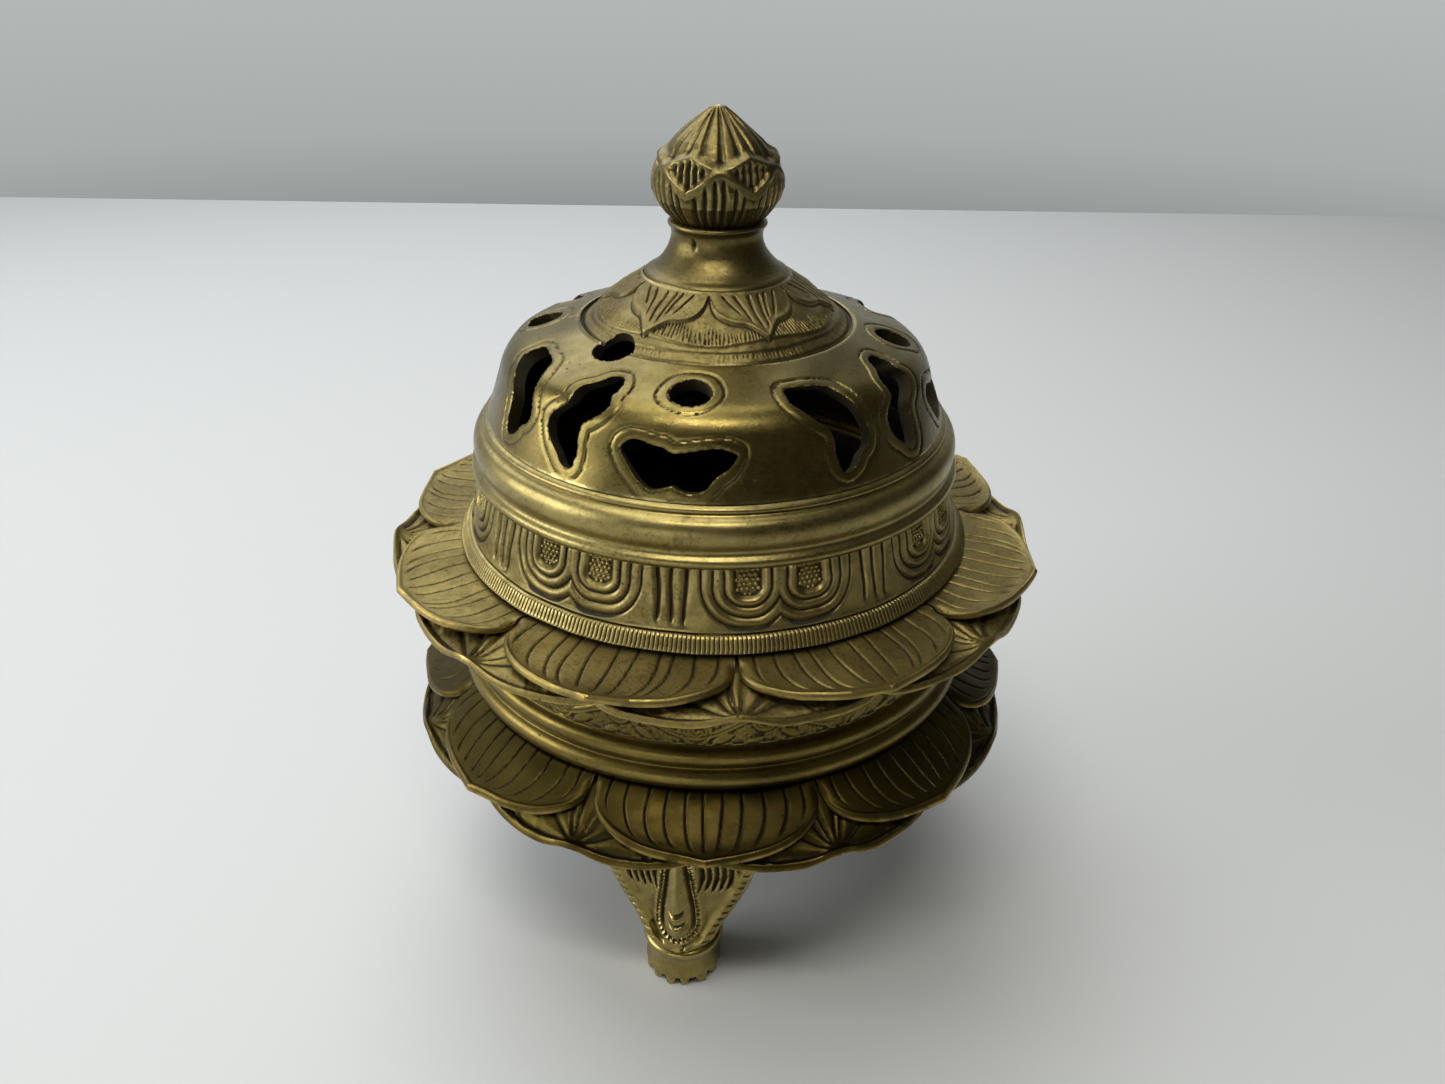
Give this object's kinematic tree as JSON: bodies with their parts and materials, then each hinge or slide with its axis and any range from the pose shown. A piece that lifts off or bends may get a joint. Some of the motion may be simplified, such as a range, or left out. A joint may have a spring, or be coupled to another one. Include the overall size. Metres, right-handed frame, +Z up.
{
  "type": "tiered lotus incense burner",
  "caption": "Stacked brass incense burner: three-legged hearth and loose middle ring, each with a lotus-petal brim, under a pierced domed lid with a lotus-bud finial.",
  "frame": {"origin": "on the table under the burner's axis, at the centre of the footprint", "axes": "+Z up along the burner's axis, -Y towards the front leg and the face with the broad smoke hole, +X to the right"},
  "size_m": [0.1196, 0.1196, 0.1522],
  "materials": {
    "hearth_brass": "sand-cast and turned, aged to a dull olive-gold, dark inside",
    "petal_brass": "chased cast petals, dark patina in the veins, rubbed bright on the rims",
    "leg_brass": "cast and chased, satin, dark in the cuts",
    "ring_brass": "turned mouldings with a punched and engraved scroll band",
    "lid_brass": "turned satin dome, chased frieze, brown patina in the recesses",
    "finial_brass": "cast bud and turned neck, rubbed bright by handling",
    "fixing_brass": "peened rivet heads and washer, left as hammered"
  },
  "bodies": {
    "hearth": {"hearth_bowl": "hearth_brass", "lower_lotus_brim": "petal_brass", "leg_front": "leg_brass", "leg_right": "leg_brass", "leg_left": "leg_brass", "leg_rivets": "fixing_brass"},
    "ring": {"middle_ring": "ring_brass", "upper_lotus_brim": "petal_brass"},
    "lid": {"lid_skirt": "lid_brass", "lid_dome": "lid_brass", "finial_neck": "finial_brass", "lotus_bud": "finial_brass", "crown_washer": "fixing_brass"}
  },
  "joints": [
    {"name": "middle_ring_lift", "type": "slide", "parent": "hearth", "child": "ring", "axis": [0, 0, 1], "range_m": [0, 0.05]},
    {"name": "lid_lift", "type": "slide", "parent": "ring", "child": "lid", "axis": [0, 0, 1], "range_m": [0, 0.06]}
  ]
}
